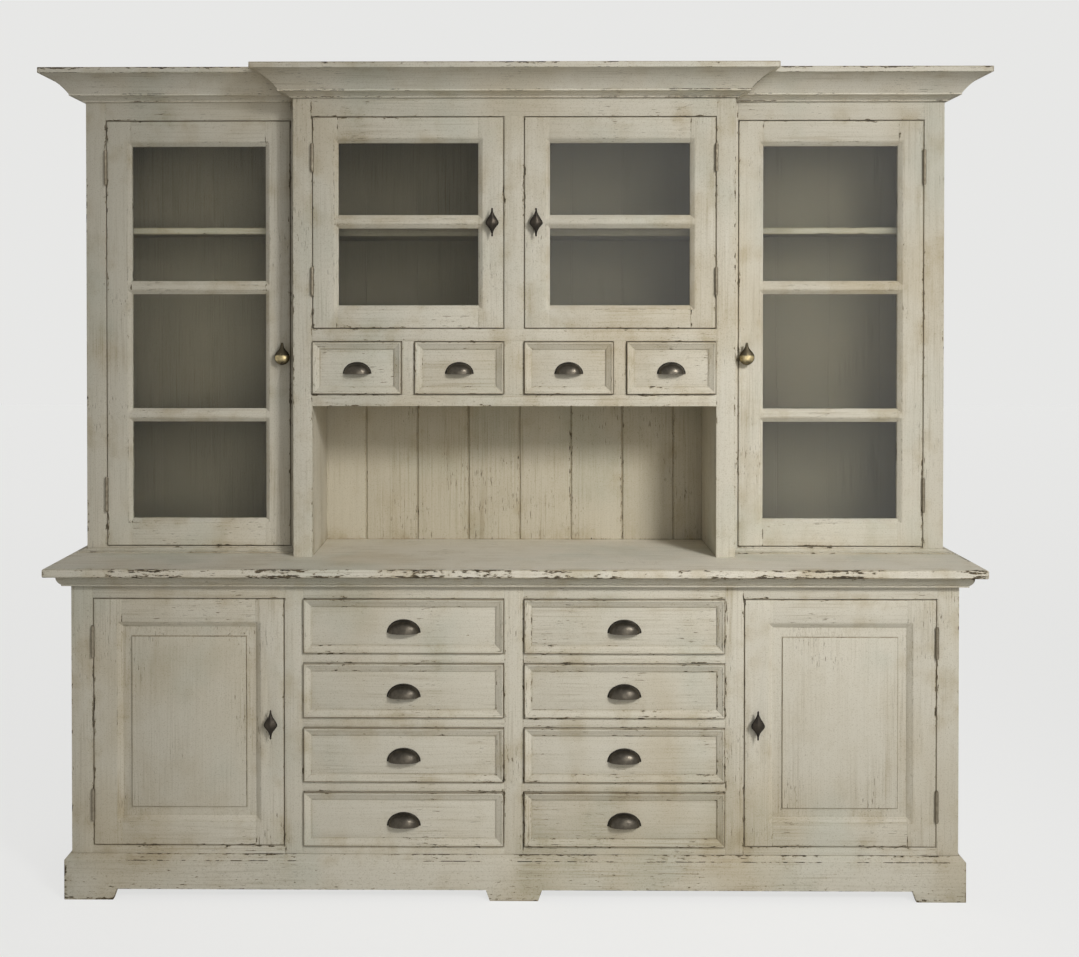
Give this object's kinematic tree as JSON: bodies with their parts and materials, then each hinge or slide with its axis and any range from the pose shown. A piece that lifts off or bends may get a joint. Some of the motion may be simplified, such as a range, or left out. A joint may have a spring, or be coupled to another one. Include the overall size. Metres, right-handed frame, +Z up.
{
  "type": "buffet cabinet",
  "caption": "Painted buffet cabinet: drawers and panelled cupboards below a countertop, and a glazed hutch with an open niche, small drawers and a stepped cornice above.",
  "frame": {"origin": "on the floor, in the middle of the width and of the depth", "axes": "+Z up, +X to the right seen from the front, +Y towards the wall"},
  "size_m": [2.54, 0.51, 2.173],
  "materials": {
    "painted_pine": "matt chalk paint brushed on pine, rubbed through at the edges",
    "window_glass": "clear drawn sheet glass",
    "old_steel": "old steel butt hinges, rubbed with paint",
    "black_iron": "black iron, worn bright on its ridges",
    "aged_brass": "aged brass, darkened at its tip and rim",
    "dark_bronze": "dark bronzed brass, satin"
  },
  "bodies": {
    "cabinet": {"plinth": "painted_pine", "base_carcass": "painted_pine", "base_face_frame": "painted_pine", "drawer_runners": "painted_pine", "countertop": "painted_pine", "counter_moulding": "painted_pine", "hutch_carcass": "painted_pine", "hutch_face_frame": "painted_pine", "back_boards": "painted_pine", "shelves": "painted_pine", "cornice": "painted_pine", "hinge_case_leaves": "old_steel"},
    "side_door_left": {"side_door_left_frame": "painted_pine", "side_door_left_glass": "window_glass", "side_door_left_hinge_leaves": "old_steel"},
    "side_door_left_knob": {"side_door_left_knob": "aged_brass"},
    "side_door_right": {"side_door_right_frame": "painted_pine", "side_door_right_glass": "window_glass", "side_door_right_hinge_leaves": "old_steel"},
    "side_door_right_knob": {"side_door_right_knob": "aged_brass"},
    "upper_door_left": {"upper_door_left_frame": "painted_pine", "upper_door_left_glass": "window_glass", "upper_door_left_hinge_leaves": "old_steel"},
    "upper_door_left_knob": {"upper_door_left_knob": "black_iron"},
    "upper_door_right": {"upper_door_right_frame": "painted_pine", "upper_door_right_glass": "window_glass", "upper_door_right_hinge_leaves": "old_steel"},
    "upper_door_right_knob": {"upper_door_right_knob": "black_iron"},
    "base_door_left": {"base_door_left_frame": "painted_pine", "base_door_left_panel": "painted_pine", "base_door_left_hinge_leaves": "old_steel"},
    "base_door_left_knob": {"base_door_left_knob": "black_iron"},
    "base_door_right": {"base_door_right_frame": "painted_pine", "base_door_right_panel": "painted_pine", "base_door_right_hinge_leaves": "old_steel"},
    "base_door_right_knob": {"base_door_right_knob": "black_iron"},
    "base_drawer_left_1": {"base_drawer_left_1": "painted_pine", "base_drawer_left_1_pull": "dark_bronze"},
    "base_drawer_left_2": {"base_drawer_left_2": "painted_pine", "base_drawer_left_2_pull": "dark_bronze"},
    "base_drawer_left_3": {"base_drawer_left_3": "painted_pine", "base_drawer_left_3_pull": "dark_bronze"},
    "base_drawer_left_4": {"base_drawer_left_4": "painted_pine", "base_drawer_left_4_pull": "dark_bronze"},
    "base_drawer_right_1": {"base_drawer_right_1": "painted_pine", "base_drawer_right_1_pull": "dark_bronze"},
    "base_drawer_right_2": {"base_drawer_right_2": "painted_pine", "base_drawer_right_2_pull": "dark_bronze"},
    "base_drawer_right_3": {"base_drawer_right_3": "painted_pine", "base_drawer_right_3_pull": "dark_bronze"},
    "base_drawer_right_4": {"base_drawer_right_4": "painted_pine", "base_drawer_right_4_pull": "dark_bronze"},
    "hutch_drawer_1": {"hutch_drawer_1": "painted_pine", "hutch_drawer_1_pull": "dark_bronze"},
    "hutch_drawer_2": {"hutch_drawer_2": "painted_pine", "hutch_drawer_2_pull": "dark_bronze"},
    "hutch_drawer_3": {"hutch_drawer_3": "painted_pine", "hutch_drawer_3_pull": "dark_bronze"},
    "hutch_drawer_4": {"hutch_drawer_4": "painted_pine", "hutch_drawer_4_pull": "dark_bronze"}
  },
  "joints": [
    {"name": "side_door_left_swing", "type": "hinge", "parent": "cabinet", "child": "side_door_left", "pos_m": [-1.115, 0.0105, 1.398], "axis": [0, 0, -1], "range_deg": [0, 110]},
    {"name": "side_door_left_knob_turn", "type": "hinge", "parent": "side_door_left", "child": "side_door_left_knob", "pos_m": [-0.6315, 0.0155, 1.398], "axis": [0, -1, 0], "range_deg": [0, 90]},
    {"name": "side_door_right_swing", "type": "hinge", "parent": "cabinet", "child": "side_door_right", "pos_m": [1.115, 0.0105, 1.398], "axis": [0, 0, 1], "range_deg": [0, 110]},
    {"name": "side_door_right_knob_turn", "type": "hinge", "parent": "side_door_right", "child": "side_door_right_knob", "pos_m": [0.6315, 0.0155, 1.398], "axis": [0, 1, 0], "range_deg": [0, 90]},
    {"name": "upper_door_left_swing", "type": "hinge", "parent": "cabinet", "child": "upper_door_left", "pos_m": [-0.54, -0.0665, 1.76], "axis": [0, 0, -1], "range_deg": [0, 110]},
    {"name": "upper_door_left_knob_turn", "type": "hinge", "parent": "upper_door_left", "child": "upper_door_left_knob", "pos_m": [-0.0585, -0.0615, 1.76], "axis": [0, -1, 0], "range_deg": [0, 90]},
    {"name": "upper_door_right_swing", "type": "hinge", "parent": "cabinet", "child": "upper_door_right", "pos_m": [0.54, -0.0665, 1.76], "axis": [0, 0, 1], "range_deg": [0, 110]},
    {"name": "upper_door_right_knob_turn", "type": "hinge", "parent": "upper_door_right", "child": "upper_door_right_knob", "pos_m": [0.0585, -0.0615, 1.76], "axis": [0, 1, 0], "range_deg": [0, 90]},
    {"name": "base_door_left_swing", "type": "hinge", "parent": "cabinet", "child": "base_door_left", "pos_m": [-1.091, -0.2025, 0.456], "axis": [0, 0, -1], "range_deg": [0, 110]},
    {"name": "base_door_left_knob_turn", "type": "hinge", "parent": "base_door_left", "child": "base_door_left_knob", "pos_m": [-0.628, -0.1975, 0.456], "axis": [0, -1, 0], "range_deg": [0, 90]},
    {"name": "base_door_right_swing", "type": "hinge", "parent": "cabinet", "child": "base_door_right", "pos_m": [1.091, -0.2025, 0.456], "axis": [0, 0, 1], "range_deg": [0, 110]},
    {"name": "base_door_right_knob_turn", "type": "hinge", "parent": "base_door_right", "child": "base_door_right_knob", "pos_m": [0.628, -0.1975, 0.456], "axis": [0, 1, 0], "range_deg": [0, 90]},
    {"name": "base_drawer_left_1_slide", "type": "slide", "parent": "cabinet", "child": "base_drawer_left_1", "axis": [0, -1, 0], "range_m": [0, 0.3]},
    {"name": "base_drawer_left_2_slide", "type": "slide", "parent": "cabinet", "child": "base_drawer_left_2", "axis": [0, -1, 0], "range_m": [0, 0.3]},
    {"name": "base_drawer_left_3_slide", "type": "slide", "parent": "cabinet", "child": "base_drawer_left_3", "axis": [0, -1, 0], "range_m": [0, 0.3]},
    {"name": "base_drawer_left_4_slide", "type": "slide", "parent": "cabinet", "child": "base_drawer_left_4", "axis": [0, -1, 0], "range_m": [0, 0.3]},
    {"name": "base_drawer_right_1_slide", "type": "slide", "parent": "cabinet", "child": "base_drawer_right_1", "axis": [0, -1, 0], "range_m": [0, 0.3]},
    {"name": "base_drawer_right_2_slide", "type": "slide", "parent": "cabinet", "child": "base_drawer_right_2", "axis": [0, -1, 0], "range_m": [0, 0.3]},
    {"name": "base_drawer_right_3_slide", "type": "slide", "parent": "cabinet", "child": "base_drawer_right_3", "axis": [0, -1, 0], "range_m": [0, 0.3]},
    {"name": "base_drawer_right_4_slide", "type": "slide", "parent": "cabinet", "child": "base_drawer_right_4", "axis": [0, -1, 0], "range_m": [0, 0.3]},
    {"name": "hutch_drawer_1_slide", "type": "slide", "parent": "cabinet", "child": "hutch_drawer_1", "axis": [0, -1, 0], "range_m": [0, 0.19]},
    {"name": "hutch_drawer_2_slide", "type": "slide", "parent": "cabinet", "child": "hutch_drawer_2", "axis": [0, -1, 0], "range_m": [0, 0.19]},
    {"name": "hutch_drawer_3_slide", "type": "slide", "parent": "cabinet", "child": "hutch_drawer_3", "axis": [0, -1, 0], "range_m": [0, 0.19]},
    {"name": "hutch_drawer_4_slide", "type": "slide", "parent": "cabinet", "child": "hutch_drawer_4", "axis": [0, -1, 0], "range_m": [0, 0.19]}
  ]
}
